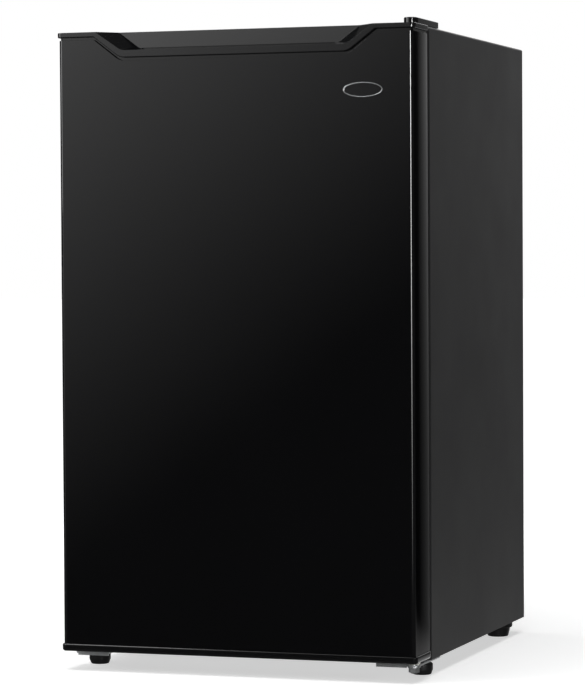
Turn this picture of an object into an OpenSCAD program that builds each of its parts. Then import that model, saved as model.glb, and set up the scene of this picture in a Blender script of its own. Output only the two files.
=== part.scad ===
/* [Cabinet] */
// Width of the steel cabinet
cab_w = 470; // [460:1:480]
// Height of the cabinet top above the floor
cab_top = 820; // [815:1:830]
// Height of the cabinet underside above the floor
cab_bottom = 21; // [21:1:22]
// Overall depth, door front to cabinet back
depth = 550; // [545:1:560]
// Foam wall between steel shell and liner at the sides
side_wall = 38; // [38:1:42]

/* [Door] */
// Depth of the door body without its gasket
door_t = 65; // [64:1:66]
// Gap between door body and cabinet, filled by the gasket
door_gap = 8; // [8:1:9]
// Clearance between the door's lower edge and the floor
door_bottom = 25; // [25:1:27]
// Radius of the door panel's upright front edges
panel_r = 5; // [4:0.5:6]
// How far the steel panel stands out beyond the cabinet at each side
door_over = 1.5; // [0.5:0.1:2]
// How far the plastic caps stand proud of the steel panel
cap_proud = 2.5; // [1:0.1:3]

/* [Finger pocket] */
// Half width of the pocket at the top of the door
pocket_half_top = 188; // [180:1:195]
// Half width of the pocket at its lip
pocket_half_lip = 152; // [145:1:155]
// Drop from the door top to the pocket's lip
pocket_drop = 24.5; // [20:0.5:26]
// Depth of the pocket behind the door front
pocket_depth = 26; // [22:1:27]

/* [Hinge] */
// Pivot distance in from the door's right side
pivot_in = 10; // [10:0.5:11]
// Pivot distance behind the door front
pivot_back = 34; // [33:1:35]
// Radius of both hinge pins
pin_r = 4; // [3.5:0.1:4]

/* [Feet] */
// Radius of the two front levelling pads
pad_r = 14; // [13:0.5:15]
// Radius of the two rear feet at the top
rear_foot_r = 20; // [18:1:21]

/* [Hidden] */
$fn = 64;

// general sizes
half_w = cab_w / 2;
front = -depth / 2;
rear = depth / 2;
sheet = 1;
slack = 0.3;
over = 5;

// door planes, front to back
panel_front = front + 1;
door_back = front + door_t;
cab_front = door_back + door_gap;
door_liner_t = 2;
gasket_t = 5.6;
gasket_w = 20;
door_half = half_w + door_over;
cap_half = door_half + cap_proud;
cap_side_h = 6.5;
cap_back = door_back + 1;
bottom_cap_h = 9.5;
groove = 3.5;
panel_top = cab_top - cap_side_h - groove;
lip_z = cab_top - pocket_drop;
band_h = 8.5;

// hinge axis
pivot_x = half_w - pivot_in;
pivot_y = front + pivot_back;
bush_r = 6;
pin_clear = 0.06;
boss_r = 8;
boss_depth = 20;

// steel shell
shell_r = 8;
top_edge_r = 3;
flange_in = 29;
rear_flange = 14;

// liner
liner_t = 2;
liner_half = half_w - side_wall;
liner_low = cab_bottom + 41;
liner_high = cab_top - 42;
liner_back = rear - 43;
liner_r = 8;
rim = 9;
step_y = 78;
step_z = 248;
rib_out = 9;
rib_h = 5;
rib_front = -118;
rib_low = 380;
rib_mid = 500;
rib_high = 616;

// compressor space
room_y = 118;
room_z = 205;
comp_x = 70;
comp_y = 197;
comp_r = 60;
can_h = 128;
can_dome = 22;
can_foot = [80, 52];
grommet_out = [68, 40];

// lower brackets and feet
plate_t = 2.5;
bracket_front = pivot_y + 0.5;
bracket_back = -150;
lip_drop = 5;
left_foot = [-217, -197.4];
right_foot = [217, -178];
rear_foot = [211, 222];
stud_r = 3;
stud_top = 34;
foot_top = 15;
screw_r = 2.4;
hinge_screw_y = [-186, -164];
bracket_screw_x = [-222, -197, 190, 224];
bracket_screw_y = -160;

// freezer
evap_half = 190;
evap_low = 655;
evap_high = 768;
evap_front = -58;
evap_back = 218;
flap_y = evap_front - 10;
flap_z = evap_high - 2;
flap_pin_r = 2;
flap_half = 187;
tray_half = 186;
tray = [-55, 205];
tray_h = 20;

// sliding furniture
shelf_half = 194;
shelf_front = -84;
shelf_back = 222;
glass_t = 4;
drawer_half = 178;
drawer_front = -92;
drawer_back = 70;
knob_y = 0;
knob_z = 578;
knob_r = 17;

// door furniture
dyke_out = 182;
dyke_in = 166;
dyke_shallow = cab_front + 17;
dyke_deep = -150;
dyke_break = 618;
bin_half = dyke_in - 0.1;
bin_front = -128;
bin_wall = 2.5;
dyke_low = 72;
dyke_bar = 16;
dyke_high = liner_high - 10;

// badge
badge_x = 172;
badge_z = 738.5;
badge_a = 25.5;
badge_b = 9.3;

// ---------- shared shapes ----------

// box between two corners
module block(x, y, z) {
  translate([x[0], y[0], z[0]])
    cube([x[1] - x[0], y[1] - y[0], z[1] - z[0]]);
}

// rectangle between two corners, with four round corners
module round_rect(x, y, r) {
  translate([x[0] + r, y[0]]) square([x[1] - x[0] - 2 * r, y[1] - y[0]]);
  translate([x[0], y[0] + r]) square([x[1] - x[0], y[1] - y[0] - 2 * r]);
  for (cx = [x[0] + r, x[1] - r], cy = [y[0] + r, y[1] - r])
    translate([cx, cy]) circle(r = r);
}

// rectangle centred across, from low to high
module upright_outline(half, low, high)
  translate([-half, low]) square([2 * half, high - low]);

// plan outline raised from z[0] to z[1]
module raise(z) {
  translate([0, 0, z[0]]) linear_extrude(z[1] - z[0]) children();
}

// front outline (x across, z up) run backwards from y[0] to y[1]
module run_back(y) {
  translate([0, y[1], 0]) rotate([90, 0, 0]) linear_extrude(y[1] - y[0]) children();
}

// side outline (y across, z up) run across from x[0] to x[1]
module run_across(x) {
  translate([x[0], 0, 0]) rotate([90, 0, 90]) linear_extrude(x[1] - x[0]) children();
}

// upright cylinder
module post(at, z, r) {
  translate([at[0], at[1], z[0]]) cylinder(h = z[1] - z[0], r = r);
}

// tube along straight legs, with a ball at each corner
module pipe(points, r) {
  for (i = [0 : len(points) - 2]) {
    leg = points[i + 1] - points[i];
    long = norm(leg);
    turn = [0, acos(leg[2] / long), atan2(leg[1], leg[0])];
    translate(points[i]) rotate(turn) cylinder(h = long, r = r);
    if (i > 0) translate(points[i]) sphere(r = r);
  }
}

// ---------- cabinet ----------

// outer form of the steel wrap, drawn in by g on every side
module shell_form(g) {
  intersection() {
    raise([0, cab_top + over])
      round_rect([-half_w + g, half_w - g], [cab_front + g, rear + shell_r + over], shell_r - g);
    run_across([-half_w, half_w])
      round_rect([cab_front + g, rear + shell_r + over], [-shell_r, cab_top - g], shell_r - g);
    run_back([cab_front, rear])
      round_rect([-half_w + g, half_w - g], [-top_edge_r, cab_top - g], top_edge_r - g);
    block([-half_w, half_w], [cab_front, rear], [cab_bottom, cab_top]);
  }
}

module outer_shell() color("#1d1d1f") {
  difference() {
    shell_form(0);
    intersection() {
      shell_form(sheet);
      block([-half_w, half_w], [cab_front, rear - 2 * sheet], [0, cab_top]);
    }
    block([-half_w + flange_in, half_w - flange_in], [cab_front - over, rear + over],
          [0, liner_high + rim]);
    block([-half_w + rear_flange, half_w - rear_flange], [rear - over, rear + over],
          [0, cab_top - rear_flange]);
    block([-half_w + sheet, half_w - sheet], [rear - sheet, rear + over], [0, cab_top - sheet]);
    for (s = [-1, 1], y = hinge_screw_y)
      post([s * pivot_x, y], [cab_top - over, cab_top + over], screw_r + 0.1);
  }
}

module rear_panel() color("#2a2a2c")
  block([-half_w + sheet + 0.5, half_w - sheet - 0.5], [rear - sheet, rear],
        [room_z + sheet, cab_top - sheet - 0.5]);

module base_plate() color("#8d9092") {
  difference() {
    union() {
      raise([cab_bottom, cab_bottom + sheet])
        round_rect([-half_w + sheet, half_w - sheet], [cab_front + sheet, room_y], shell_r - sheet);
      block([-half_w + flange_in, half_w - flange_in], [cab_front, cab_front + sheet],
            [cab_bottom, liner_low - rim]);
    }
    for (foot = [left_foot, right_foot]) post(foot, [0, cab_bottom + over], stud_r + 2);
    for (x = bracket_screw_x) post([x, bracket_screw_y], [0, cab_bottom + over], screw_r + 0.1);
  }
}

module machine_room_wall() color("#8d9092") {
  block([-half_w + sheet, half_w - sheet], [room_y, room_y + sheet], [cab_bottom, room_z]);
  block([-half_w + sheet, half_w - sheet], [room_y, rear - 2 * sheet], [room_z, room_z + sheet]);
}

// space inside the liner, grown by g into its walls
module liner_form(g, front_y) {
  difference() {
    run_back([front_y, liner_back + g])
      round_rect([-liner_half - g, liner_half + g], [liner_low - g, liner_high + g], liner_r + g);
    block([-half_w, half_w], [step_y + g, rear], [0, step_z - g]);
  }
}

// pair of moulded ledges, one on each side wall
module rib(z, back) {
  for (s = [-1, 1])
    block(s > 0 ? [liner_half - rib_out, liner_half + 1] : [-liner_half - 1, -liner_half + rib_out],
          [rib_front, back], [z, z + rib_h]);
}

module cabinet_liner() color("#e9ebec") {
  difference() {
    union() {
      liner_form(liner_t, cab_front);
      run_back([cab_front, cab_front + liner_t])
        upright_outline(liner_half + rim, liner_low - rim, liner_high + rim);
    }
    liner_form(0, cab_front - over);
  }
  rib(step_z - rib_h, step_y - 2);
  for (z = [rib_low, rib_mid, rib_high]) rib(z, shelf_back + 4);
}

module cabinet_foam() color("#e8dcae") {
  difference() {
    intersection() {
      shell_form(sheet);
      block([-half_w, half_w], [cab_front + sheet, rear - 2 * sheet], [cab_bottom + sheet, cab_top]);
    }
    liner_form(liner_t, cab_front - over);
    run_back([cab_front - over, cab_front + liner_t])
      upright_outline(liner_half + rim, liner_low - rim, liner_high + rim);
    block([-half_w, half_w], [room_y, rear + over], [0, room_z + sheet]);
    for (foot = [left_foot, right_foot]) post(foot, [0, stud_top + 2], stud_r + 2);
    for (x = bracket_screw_x) post([x, bracket_screw_y], [0, 34], screw_r + 0.6);
    for (s = [-1, 1], y = hinge_screw_y)
      post([s * pivot_x, y], [cab_top - 18, cab_top], screw_r + 0.6);
    condenser_shape(0.2);
  }
}

// tube that runs up and down behind one side wall
coil_y = [for (i = [0 : 5]) -150 + 60 * i];
coil_low = 290;
coil_high = 740;
coil_r = 2.3;
coil_x = half_w - sheet - coil_r - 0.3;
module condenser_side(grow) {
  for (y = coil_y) post([coil_x, y], [coil_low, coil_high], coil_r + grow);
  for (i = [0 : 4])
    translate([coil_x, coil_y[i] + 30, i % 2 == 0 ? coil_high : coil_low])
      rotate([0, i % 2 == 0 ? 0 : 180, 0])
        rotate([90, 0, 90]) rotate_extrude(angle = 180) translate([30, 0]) circle(r = coil_r + grow);
}

module condenser_shape(grow) {
  condenser_side(grow);
  mirror([1, 0, 0]) condenser_side(grow);
}

module condenser_coil() color("#b87348") condenser_shape(0);

// ---------- compressor space ----------

plate_z = [cab_bottom, cab_bottom + 2];
grommet_at = [for (x = [-1, 1], y = [-1, 1]) [comp_x + x * grommet_out[0], comp_y + y * grommet_out[1]]];
leg_z = [plate_z[1] + 11, plate_z[1] + 13.5];
can_low = leg_z[1];
can_high = can_low + can_h;
gland = [-170, 44];

module compressor_plate() color("#8d9092") {
  difference() {
    union() {
      block([-half_w + sheet + 0.2, half_w - sheet - 0.2], [room_y + sheet, rear - 2 * sheet], plate_z);
      block([-half_w + sheet + 0.2, half_w - sheet - 0.2], [rear - 4 * sheet, rear - 2 * sheet],
            [plate_z[0], plate_z[0] + 14]);
      block([gland[0] - 16, gland[0] + 16], [rear - 4 * sheet, rear - 2 * sheet],
            [plate_z[0], gland[1] + 16]);
    }
    for (p = grommet_at) post(p, [0, plate_z[1] + over], 4.2);
    translate([gland[0], rear, gland[1]]) rotate([90, 0, 0]) cylinder(h = 20, r = 8);
  }
}

module compressor() color("#17181a") {
  dome = can_dome;
  translate([comp_x, comp_y, 0]) rotate_extrude() {
    translate([0, can_low + dome]) square([comp_r, can_high - can_low - 2 * dome]);
    for (z = [can_low + dome, can_high - dome]) {
      translate([comp_r - dome, z]) circle(r = dome);
      translate([0, z - dome]) square([comp_r - dome, 2 * dome]);
    }
  }
  difference() {
    block([comp_x - can_foot[0], comp_x + can_foot[0]], [comp_y - can_foot[1], comp_y + can_foot[1]], leg_z);
    for (p = grommet_at) post(p, [0, leg_z[1] + over], 5.2);
  }
  translate([comp_x, comp_y, (can_low + can_high) / 2]) cylinder(h = 3, r = comp_r + 2, center = true);
  for (y = [-17, 17])
    translate([comp_x - stub_out, comp_y + y, stub_z]) rotate([0, 90, 0]) cylinder(h = 40, r = 4.5);
}
stub_out = comp_r + 12;
stub_z = 80;

module compressor_grommets() color("#202020")
  for (p = grommet_at) difference() {
    union() {
      post(p, [plate_z[1], leg_z[0]], 10);
      post(p, [leg_z[0], leg_z[1] + 3], 5.1);
      post(p, [leg_z[1], leg_z[1] + 3], 8);
      post(p, [plate_z[0] - 2, plate_z[1]], 4.1);
    }
    post(p, [0, leg_z[1] + 10], 2);
  }

module relay_cover() color("#1b1b1d")
  difference() {
    block([comp_x + 40, comp_x + comp_r + 34], [comp_y - 24, comp_y + 24], [58, 118]);
    post([comp_x, comp_y], [0, 300], comp_r + 2.2);
  }

pipe_x = comp_x - stub_out;
suction_x = -40;
discharge_x = -205;
drier = [-110, 236];

module suction_pipe() color("#b87348")
  pipe([[pipe_x, comp_y - 17, stub_z], [suction_x, comp_y - 17, stub_z],
        [suction_x, comp_y - 17, room_z]], 4);

module discharge_pipe() color("#b87348")
  pipe([[pipe_x, comp_y + 17, stub_z], [-70, comp_y + 17, stub_z], [-70, comp_y + 17, 120],
        [discharge_x, comp_y + 17, 120], [discharge_x, comp_y + 17, room_z]], 3);

module filter_drier() color("#b87348") {
  post(drier, [90, 175], 9.5);
  translate([drier[0], drier[1], 175]) cylinder(h = 12, r1 = 9.5, r2 = 3);
  post(drier, [187, room_z], 3);
  translate([drier[0], drier[1], 80]) cylinder(h = 10, r1 = 2, r2 = 9.5);
}

module capillary_tube() color("#b87348")
  pipe([[drier[0], drier[1], 80], [drier[0], drier[1], 66], [drier[0] - 32, drier[1], 66],
        [drier[0] - 32, drier[1], room_z]], 1.2);

module cord_gland() color("#161616")
  translate([gland[0], rear - 3 * sheet, gland[1]]) rotate([90, 0, 0]) difference() {
    union() {
      cylinder(h = 2 * sheet, r = 7.9, center = true);
      translate([0, 0, sheet]) cylinder(h = 5, r = 11);
      translate([0, 0, -sheet - 2]) cylinder(h = 2, r = 11);
    }
    cylinder(h = 40, r = 3.6, center = true);
  }

// ---------- feet and lower brackets ----------

module rear_feet() color("#121212")
  for (s = [-1, 1]) translate([s * rear_foot[0], rear_foot[1], 0])
    rotate_extrude() polygon([[0, 0], [rear_foot_r - 6.5, 0], [rear_foot_r - 5.5, 1], [rear_foot_r - 3, 12],
                              [rear_foot_r, 13.5], [rear_foot_r, cab_bottom], [0, cab_bottom]]);

// flat zinc plate under the cabinet, with its front edge folded down
module bracket_plate(x, lip_x, foot) {
  difference() {
    union() {
      block(x, [bracket_front, bracket_back], [cab_bottom - plate_t, cab_bottom]);
      block(lip_x, [bracket_front, bracket_front + plate_t], [cab_bottom - lip_drop, cab_bottom]);
      children();
    }
    post(foot, [0, cab_bottom + over], stud_r + 0.1);
    for (sx = bracket_screw_x) post([sx, bracket_screw_y], [0, cab_bottom + over], screw_r + 0.1);
  }
}

module left_foot_bracket() color("#b9bcc0")
  bracket_plate([-232, -187], [-230, -188], left_foot);

module lower_hinge_bracket() color("#b9bcc0")
  difference() {
    bracket_plate([175, 233], [175, 215], right_foot)
      post([pivot_x, pivot_y], [cab_bottom - plate_t, cab_bottom], 9);
    post([pivot_x, pivot_y], [0, 50], pin_r);
  }

module lower_hinge_pin() color("#c9ccd0")
  post([pivot_x, pivot_y], [9.5, door_bottom + 16], pin_r);

module hinge_pin_nut() color("#c2c5c9")
  difference() {
    translate([pivot_x, pivot_y, 0]) {
      translate([0, 0, 11]) cylinder(h = 6, r = 7.2, $fn = 6);
      translate([0, 0, 17]) cylinder(h = cab_bottom - plate_t - 17, r = 8);
    }
    post([pivot_x, pivot_y], [0, 50], pin_r);
  }

module base_screws() color("#a9acb0")
  for (x = bracket_screw_x) {
    post([x, bracket_screw_y], [cab_bottom - plate_t, 33], screw_r);
    post([x, bracket_screw_y], [cab_bottom - plate_t - 2.6, cab_bottom - plate_t], 4.5);
  }

// levelling pad, wide at the rim and narrower on the floor
module foot_pad(at)
  difference() {
    translate([at[0], at[1], 0]) rotate_extrude()
      polygon([[0, 0], [pad_r - 3, 0], [pad_r - 2, 1], [pad_r, 6.5], [pad_r, foot_top - 1.5],
               [pad_r - 1.5, foot_top], [0, foot_top]]);
    post(at, [6, 30], stud_r);
  }

module left_foot_pad() color("#121212") foot_pad(left_foot);
module right_foot_pad() color("#121212") foot_pad(right_foot);
module left_foot_stud() color("#a9acb0") post(left_foot, [6, stud_top], stud_r);
module right_foot_stud() color("#a9acb0") post(right_foot, [6, stud_top], stud_r);

// ---------- upper hinge ----------

arm_z = [cab_top + 1.5, cab_top + 4];
cover_top = cab_top + 8.5;
cover_back = -148;
cover_r = 9;

// plan outline of the hinge arm, nose round the pin
module arm_outline(r, back) {
  translate([pivot_x, pivot_y]) circle(r = r);
  translate([pivot_x - r, pivot_y]) square([2 * r, back - pivot_y]);
}

module upper_hinge_bracket() color("#b9bcc0")
  difference() {
    union() {
      raise(arm_z) arm_outline(7, -153);
      block([pivot_x - 7, pivot_x + 7], [-198, -153], [cab_top, arm_z[0]]);
    }
    post([pivot_x, pivot_y], [cab_top - over, cover_top], pin_r);
    for (y = hinge_screw_y) post([pivot_x, y], [cab_top - over, cover_top], screw_r + 0.1);
  }

module upper_hinge_pin() color("#c9ccd0")
  post([pivot_x, pivot_y], [cab_top - 15, arm_z[1]], pin_r);

module upper_hinge_screws() color("#a9acb0")
  for (y = hinge_screw_y) {
    post([pivot_x, y], [cab_top - 16, arm_z[1]], screw_r);
    post([pivot_x, y], [arm_z[1], arm_z[1] + 2.4], 4.4);
  }

module hinge_cover() color("#151517")
  difference() {
    raise([cab_top + 0.4, cover_top]) arm_outline(cover_r, cover_back);
    raise([cab_top - over, cover_top - 1.6]) arm_outline(cover_r - 1.6, cover_back - 1.6);
  }

module hole_plugs() color("#151517")
  for (y = hinge_screw_y) {
    post([-pivot_x, y], [cab_top - 6, cab_top], screw_r);
    post([-pivot_x, y], [cab_top, cab_top + 1.2], 5);
  }

// ---------- freezer box and controls ----------

module evaporator_box() color("#c4c8cc")
  difference() {
    block([-evap_half, evap_half], [evap_front, evap_back], [evap_low, evap_high]);
    block([-evap_half + 1.5, evap_half - 1.5], [evap_front - over, evap_back - 1.5],
          [evap_low + 1.5, evap_high - 1.5]);
  }

module evaporator_hangers() color("#e9ebec")
  for (x = [-150, 150], y = [0, 170])
    block([x - 15, x + 15], [y - 10, y + 10], [evap_high, liner_high]);

module freezer_frame() color("#f2f3f4")
  difference() {
    union() {
      difference() {
        block([-shelf_half, shelf_half], [evap_front - 4, evap_front], [evap_low - 6, evap_high + 5]);
        block([-evap_half + 8, evap_half - 8], [evap_front - over, evap_front + over],
              [evap_low + 6, evap_high - 10]);
      }
      for (s = [-1, 1]) translate([s * 191, 0, 0])
        block([-2.5, 2.5], [flap_y - 6, evap_front - 4], [flap_z - 6, evap_high + 5]);
    }
    translate([-shelf_half - 5, flap_y, flap_z]) rotate([0, 90, 0])
      cylinder(h = 2 * shelf_half + 10, r = flap_pin_r + pin_clear);
  }

module freezer_flap() color("#dfe6ea") {
  difference() {
    block([-flap_half, flap_half], [flap_y - 3, flap_y + 3], [evap_low + 1, flap_z]);
    block([-60, 60], [flap_y - 4, flap_y - 0.5], [evap_low + 6, evap_low + 20]);
  }
  translate([-flap_half, flap_y, flap_z]) rotate([0, 90, 0]) cylinder(h = 2 * flap_half, r = 3);
  translate([-flap_half - 6, flap_y, flap_z]) rotate([0, 90, 0])
    cylinder(h = 2 * flap_half + 12, r = flap_pin_r);
}

tray_z = rib_high + rib_h + slack;
module drip_tray() color("#dfe6ea") {
  difference() {
    union() {
      block([-tray_half, tray_half], tray, [tray_z, tray_z + tray_h]);
      block([-shelf_half, shelf_half], tray, [tray_z, tray_z + 2]);
      block([-45, 45], [tray[0] - 7, tray[0]], [tray_z + 12, tray_z + tray_h]);
    }
    block([-tray_half + 2, tray_half - 2], [tray[0] + 2, tray[1] - 2], [tray_z + 2, tray_z + 30]);
  }
}

housing = [[167, liner_half], [-62, 62], [545, 608]];
module thermostat_housing() color("#eef0f1")
  difference() {
    run_across(housing[0]) round_rect(housing[1], housing[2], 10);
    translate([housing[0][0] - over, knob_y, knob_z]) rotate([0, 90, 0]) cylinder(h = 20, r = 5.06);
  }

// knob turned about the cross axis, open down its middle for the button
module thermostat_knob() color("#f2f3f4")
  difference() {
    union() {
      translate([housing[0][0] - 15, knob_y, knob_z]) rotate([0, 90, 0]) cylinder(h = 10.5, r = knob_r - 3);
      translate([housing[0][0] - 4.5, knob_y, knob_z]) rotate([0, 90, 0]) cylinder(h = 4.2, r = knob_r);
      translate([housing[0][0] - 2, knob_y, knob_z]) rotate([0, 90, 0]) cylinder(h = 12, r = 5);
      translate([housing[0][0] - 15, knob_y - 1.5, knob_z + 8]) cube([12, 3, 8]);
    }
    translate([housing[0][0] - 20, knob_y, knob_z]) rotate([0, 90, 0]) cylinder(h = 13, r = 6.06);
  }

module defrost_button() color("#c23a32")
  translate([housing[0][0] - 17.5, knob_y, knob_z]) rotate([0, 90, 0]) cylinder(h = 7, r = 6);

// ---------- shelves and drawer ----------

module shelf_glass(z) color([0.75, 0.87, 0.84, 0.4])
  block([-shelf_half + 1, shelf_half - 1], [shelf_front + 2, shelf_back], [z, z + glass_t]);

module shelf_trim(z) color("#f2f3f4")
  difference() {
    run_across([-shelf_half, shelf_half]) union() {
      round_rect([shelf_front - 3, shelf_front + 9], [z - 3, z + glass_t + 4], 3);
      translate([shelf_front + 2, z - 3]) square([12, 3]);
    }
    shelf_glass(z);
    for (s = [-1, 1])
      block([s * shelf_half - rib_out - 4, s * shelf_half + rib_out + 4], [shelf_front - 20, 40],
            [z - 10, z]);
  }

low_z = rib_low + rib_h + slack;
mid_z = rib_mid + rib_h + slack;
cover_z = step_z + 2;
module upper_shelf_glass() shelf_glass(mid_z);
module upper_shelf_trim() shelf_trim(mid_z);
module lower_shelf_glass() shelf_glass(low_z);
module lower_shelf_trim() shelf_trim(low_z);

module crisper_cover() color([0.75, 0.87, 0.84, 0.4]) {
  block([-shelf_half, shelf_half], [shelf_front, shelf_back], [cover_z, cover_z + glass_t]);
  for (s = [-1, 1])
    block([s * (shelf_half - 3) - 3, s * (shelf_half - 3) + 3], [step_y + 2, shelf_back], [step_z, cover_z]);
}

module crisper_drawer() color([0.82, 0.9, 0.93, 0.55]) {
  low = liner_low + slack;
  difference() {
    union() {
      run_back([drawer_front, drawer_back]) round_rect([-drawer_half, drawer_half], [low, 236], 10);
      block([-drawer_half, drawer_half], [drawer_front - 8, drawer_front + 4], [210, 236]);
    }
    run_back([drawer_front + 3.5, drawer_back - 2.5])
      round_rect([-drawer_half + 2.5, drawer_half - 2.5], [low + 2.5, 260], 8);
    block([-drawer_half - over, drawer_half + over], [drawer_front - 20, drawer_back + over], [235, 300]);
    block([-60, 60], [drawer_front - 5, drawer_front - 0.5], [205, 231]);
  }
}

// ---------- door ----------

// everything below the door's top outline: height z at the ends, height mid under the pocket
module below_top(z, mid)
  polygon([[-cap_half - over, z], [-pocket_half_top, z], [-pocket_half_lip, mid], [pocket_half_lip, mid],
           [pocket_half_top, z], [cap_half + over, z], [cap_half + over, -over], [-cap_half - over, -over]]);

// plan outline of the caps
module cap_plan(g)
  round_rect([-cap_half + g, cap_half - g], [front + g, cap_back - g], cap_corner - g);

module door_panel() color("#0d0d0f") {
  z = [door_bottom + bottom_cap_h, panel_top];
  difference() {
    raise(z) round_rect([-door_half, door_half], [panel_front, door_back + 20], panel_r);
    raise([0, cab_top])
      round_rect([-door_half + sheet, door_half - sheet], [panel_front + sheet, door_back + 30],
                 panel_r - sheet);
    block([-cap_half, cap_half], [door_back, door_back + 40], [0, cab_top]);
    difference() {
      block([-pocket_half_top, pocket_half_top], [front - over, panel_front + 2], [finger_low, cab_top]);
      run_back([front - 2 * over, panel_front + 4]) below_top(panel_top, lip_z - band_h - groove);
    }
  }
}

// pocket space: wide at the front, narrower at its back wall
module pocket_form(g) {
  hull() {
    run_back([front - 2, front - 1.99]) pocket_outline(g, 0);
    run_back([front + pocket_depth + g - 0.01, front + pocket_depth + g]) pocket_outline(g, 1);
  }
}

// outline at the front (back = 0) or at the back wall (back = 1), grown by g
pocket_in_top = 24.5;
pocket_in_lip = 14.5;
pocket_rise = 3;
slant = 1.4;
module pocket_outline(g, back) {
  half_top = pocket_half_top - pocket_in_top * back + g * slant;
  half_low = pocket_half_lip - pocket_in_lip * back + g;
  low = lip_z + pocket_rise * back - g;
  slope = (half_top - half_low) / (cab_top - low);
  polygon([[-half_top - slope * 10, cab_top + 10], [-half_low, low], [half_low, low],
           [half_top + slope * 10, cab_top + 10]]);
}

// finger space behind the lip, and the cap's plate tucked behind the panel's cut edge
finger_low = cab_top - 52;
finger_half = 130;
finger_front = front + 6;
tuck_front = panel_front + 1.4;
tuck_back = front + 5;
tuck_low = cab_top - 60;
tuck_half = door_half - 8;
foam_notch = 210;
foam_low = door_bottom + 22;
foam_high = cab_top - 22;
// the skirt stands just inside the panel, and the hinge bosses run a little way into it
skirt_out = door_half - 1.5;
skirt_in = pivot_x + boss_r - 1;
skirt_front = panel_front + 4;
cap_corner = 6;
module finger_space(g)
  block([-finger_half - g, finger_half + g], [finger_front - g, front + pocket_depth - 1 + g],
        [finger_low - g, lip_z + 2]);

module door_top_cap() color("#1a1a1c") {
  under = cab_top - cap_side_h;
  difference() {
    union() {
      raise([under, cab_top]) cap_plan(0);
      intersection() {
        run_back([front, tuck_back]) difference() {
          below_top(cab_top, lip_z);
          below_top(under, lip_z - band_h);
        }
        raise([0, cab_top]) cap_plan(0);
      }
      run_back([tuck_front, tuck_back]) intersection() {
        below_top(cab_top - 3, lip_z - 3);
        upright_outline(tuck_half, tuck_low, cab_top);
      }
      intersection() {
        pocket_form(2);
        block([-door_half, door_half], [panel_front + 2, 0], [finger_low, cab_top]);
      }
      finger_space(2);
      difference() {
        block([-skirt_out, skirt_out], [panel_front + 8, door_back - 0.5],
              [cab_top - 18, cab_top - 2]);
        block([-skirt_in, skirt_in], [panel_front + 5, door_back - 2.5], [0, under]);
      }
      for (s = [-1, 1])
        post([s * pivot_x, pivot_y], [cab_top - boss_depth, cab_top - 1], boss_r);
    }
    pocket_form(0);
    finger_space(0);
    for (s = [-1, 1]) post([s * pivot_x, pivot_y], [cab_top - boss_depth - 1, cab_top + over], bush_r);
  }
}

module door_bottom_cap() color("#1a1a1c") {
  over_z = door_bottom + bottom_cap_h;
  difference() {
    union() {
      intersection() {
        raise([door_bottom, over_z]) cap_plan(0);
        run_back([front, cap_back])
          round_rect([-cap_half, cap_half], [door_bottom, over_z + 20], cap_corner);
      }
      difference() {
        block([-skirt_out, skirt_out], [skirt_front, door_back - 0.5],
              [over_z - 2, over_z + 10]);
        block([-skirt_in, skirt_in], [skirt_front + 2, door_back - 2.5],
              [over_z, over_z + 30]);
      }
      for (s = [-1, 1]) post([s * pivot_x, pivot_y], [door_bottom + 1, door_bottom + boss_depth], boss_r);
    }
    post([pivot_x, pivot_y], [0, door_bottom + boss_depth + 1], bush_r);
  }
}

// raised wall on the door's inner face, drawn in by g
module dyke_form(g) {
  for (s = [-1, 1]) {
    x = s > 0 ? [dyke_in + g, dyke_out - g] : [-dyke_out + g, -dyke_in - g];
    block(x, [door_back, dyke_deep - g], [dyke_low + g, dyke_break - g]);
    block(x, [door_back, dyke_shallow - g], [dyke_low + g, dyke_high - g]);
  }
  for (z = [[dyke_low, dyke_low + dyke_bar], [dyke_high - dyke_bar, dyke_high]])
    block([-dyke_out + g, dyke_out - g], [door_back, dyke_shallow - g], [z[0] + g, z[1] - g]);
}

module door_liner() color("#e9ebec")
  difference() {
    union() {
      block([-door_half + 2, door_half - 2], [door_back, door_back + door_liner_t],
            [door_bottom + bottom_cap_h, cab_top - cap_side_h]);
      dyke_form(0);
    }
    translate([0, -0.01, 0]) dyke_form(door_liner_t);
    block([-door_half, door_half], [door_back - over, door_back], [0, cab_top]);
  }

module door_foam() color("#e8dcae") {
  difference() {
    block([-door_half + 4, door_half - 4], [panel_front + sheet + slack, door_back],
          [foam_low, foam_high]);
    block([-foam_notch, foam_notch], [front, front + pocket_depth + 3], [finger_low - 3, cab_top]);
    block([-door_half, door_half], [front, tuck_back + slack], [tuck_low - slack, cab_top]);
    for (s = [-1, 1]) translate([s * door_half, panel_front, 0])
      rotate([0, 0, 45]) cube([10, 10, 2 * cab_top], center = true);
  }
  translate([0, -0.01, 0]) dyke_form(door_liner_t);
}

module door_gasket() color("#1c1c1e") {
  y = door_back + door_liner_t;
  outer = [[-half_w + 7, half_w - 7], [door_bottom + 11, cab_top - 11]];
  inner = [[-half_w + 7 + gasket_w, half_w - 7 - gasket_w],
           [door_bottom + 11 + gasket_w, cab_top - 11 - gasket_w]];
  difference() {
    run_back([y, y + gasket_t]) round_rect(outer[0], outer[1], 3);
    run_back([y - over, y + gasket_t + over]) round_rect(inner[0], inner[1], 1);
    run_back([y + 1.5, y + gasket_t - 1.5]) difference() {
      round_rect(outer[0] - [over, -over], outer[1] - [over, -over], 3);
      round_rect(outer[0] + [3, -3], outer[1] + [3, -3], 2);
    }
  }
}

// flat oval of half width a and half height b
module oval(a, b)
  polygon([for (i = [0 : 71]) [a * cos(i * 5), b * sin(i * 5)]]);

module badge_ring() color("#c8cbce")
  translate([badge_x, panel_front, badge_z]) rotate([90, 0, 0]) linear_extrude(1) difference() {
    oval(badge_a, badge_b);
    oval(badge_a - 1, badge_b - 1);
  }

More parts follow.
